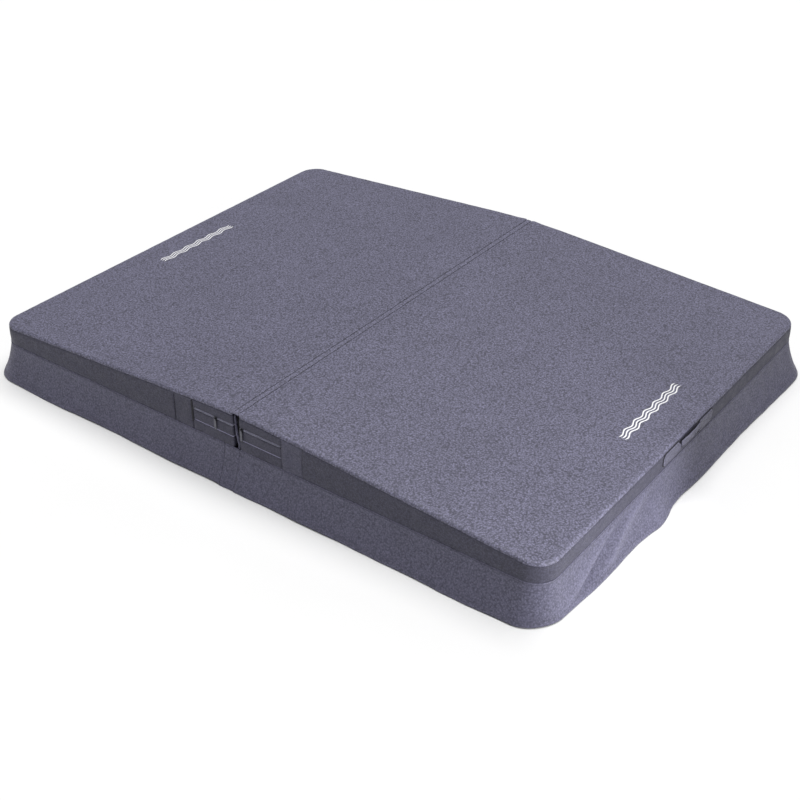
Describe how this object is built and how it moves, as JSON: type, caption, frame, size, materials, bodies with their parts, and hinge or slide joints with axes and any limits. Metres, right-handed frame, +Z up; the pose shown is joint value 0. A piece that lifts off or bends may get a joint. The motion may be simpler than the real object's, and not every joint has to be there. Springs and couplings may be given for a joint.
{
  "type": "folding hot tub cover",
  "caption": "Folding hot tub cover: tapered foam halves in grained vinyl, hinged at the fold, with end zips, side handles and a skirt.",
  "frame": {"origin": "middle of the cover, on the plane of the skirt's lower edge", "axes": "+X across the fold towards the right half, +Y along the fold towards the back, +Z up"},
  "size_m": [2.176, 1.684, 0.2525],
  "materials": {
    "top_vinyl": "leather-grained marine vinyl, matt",
    "side_vinyl": "leather-grained marine vinyl, matt",
    "skirt_vinyl": "leather-grained marine vinyl, matt",
    "handle_vinyl": "folded and stitched vinyl",
    "liner_vinyl": "plain woven-backed liner vinyl",
    "white_print": "screen-printed white ink",
    "zip_tape": "woven polyester tape",
    "zip_coil": "nylon coil",
    "zip_metal": "plated zinc alloy, satin",
    "brass": "plated brass, satin",
    "eps_foam": "moulded bead foam",
    "seal_foam": "open-cell foam",
    "vapour_film": "translucent polyethylene film",
    "galvanised_steel": "galvanised, spangled"
  },
  "bodies": {
    "left_half": {"back_fold_gusset": "side_vinyl", "back_skirt_insert": "skirt_vinyl", "front_fold_gusset": "side_vinyl", "front_skirt_insert": "skirt_vinyl", "hinge_strip": "top_vinyl", "left_back_band_end": "side_vinyl", "left_base_panel": "liner_vinyl", "left_drain_eyelets": "brass", "left_foam_core": "eps_foam", "left_front_band_end": "side_vinyl", "left_handle_tabs": "handle_vinyl", "left_side_band": "side_vinyl", "left_skirt": "skirt_vinyl", "left_steel_channel": "galvanised_steel", "left_top_panel": "top_vinyl", "left_top_print": "white_print", "left_vapour_wrap": "vapour_film", "left_zip_coil": "zip_coil", "left_zip_facing": "side_vinyl", "left_zip_lower_panel": "side_vinyl", "left_zip_tapes": "zip_tape", "left_zip_upper_panel": "side_vinyl", "seal_foam": "seal_foam", "seal_sleeve": "liner_vinyl"},
    "left_grip": {"left_handle_grip": "handle_vinyl"},
    "left_pull": {"left_zip_pull": "zip_metal"},
    "left_slider": {"left_zip_slider": "zip_metal"},
    "right_half": {"right_back_band_end": "side_vinyl", "right_base_panel": "liner_vinyl", "right_drain_eyelets": "brass", "right_foam_core": "eps_foam", "right_front_band_end": "side_vinyl", "right_handle_tabs": "handle_vinyl", "right_side_band": "side_vinyl", "right_skirt": "skirt_vinyl", "right_steel_channel": "galvanised_steel", "right_top_panel": "top_vinyl", "right_top_print": "white_print", "right_vapour_wrap": "vapour_film", "right_zip_coil": "zip_coil", "right_zip_facing": "side_vinyl", "right_zip_lower_panel": "side_vinyl", "right_zip_tapes": "zip_tape", "right_zip_upper_panel": "side_vinyl"},
    "right_grip": {"right_handle_grip": "handle_vinyl"},
    "right_pull": {"right_zip_pull": "zip_metal"},
    "right_slider": {"right_zip_slider": "zip_metal"}
  },
  "joints": [
    {"name": "fold", "type": "hinge", "parent": "left_half", "child": "right_half", "pos_m": [0, 0, 0.254], "axis": [0, -1, 0], "range_deg": [0, 180], "deforming": ["hinge_strip"]},
    {"name": "left_handle_swing", "type": "hinge", "parent": "left_half", "child": "left_grip", "pos_m": [-1.058, 0, 0.1685], "axis": [0, 1, 0], "range_deg": [-18, 18]},
    {"name": "right_handle_swing", "type": "hinge", "parent": "right_half", "child": "right_grip", "pos_m": [1.058, 0, 0.1685], "axis": [0, -1, 0], "range_deg": [-18, 18]},
    {"name": "left_zip_run", "type": "slide", "parent": "left_half", "child": "left_slider", "axis": [1, 0, 0], "range_m": [-0.07, 0.058]},
    {"name": "left_pull_swing", "type": "hinge", "parent": "left_slider", "child": "left_pull", "pos_m": [-0.08, -0.8082, 0.205], "axis": [-1, 0, 0], "range_deg": [0, 150]},
    {"name": "right_zip_run", "type": "slide", "parent": "right_half", "child": "right_slider", "axis": [1, 0, 0], "range_m": [0, 0.128]},
    {"name": "right_pull_swing", "type": "hinge", "parent": "right_slider", "child": "right_pull", "pos_m": [0.022, -0.8082, 0.205], "axis": [-1, 0, 0], "range_deg": [0, 150]}
  ]
}
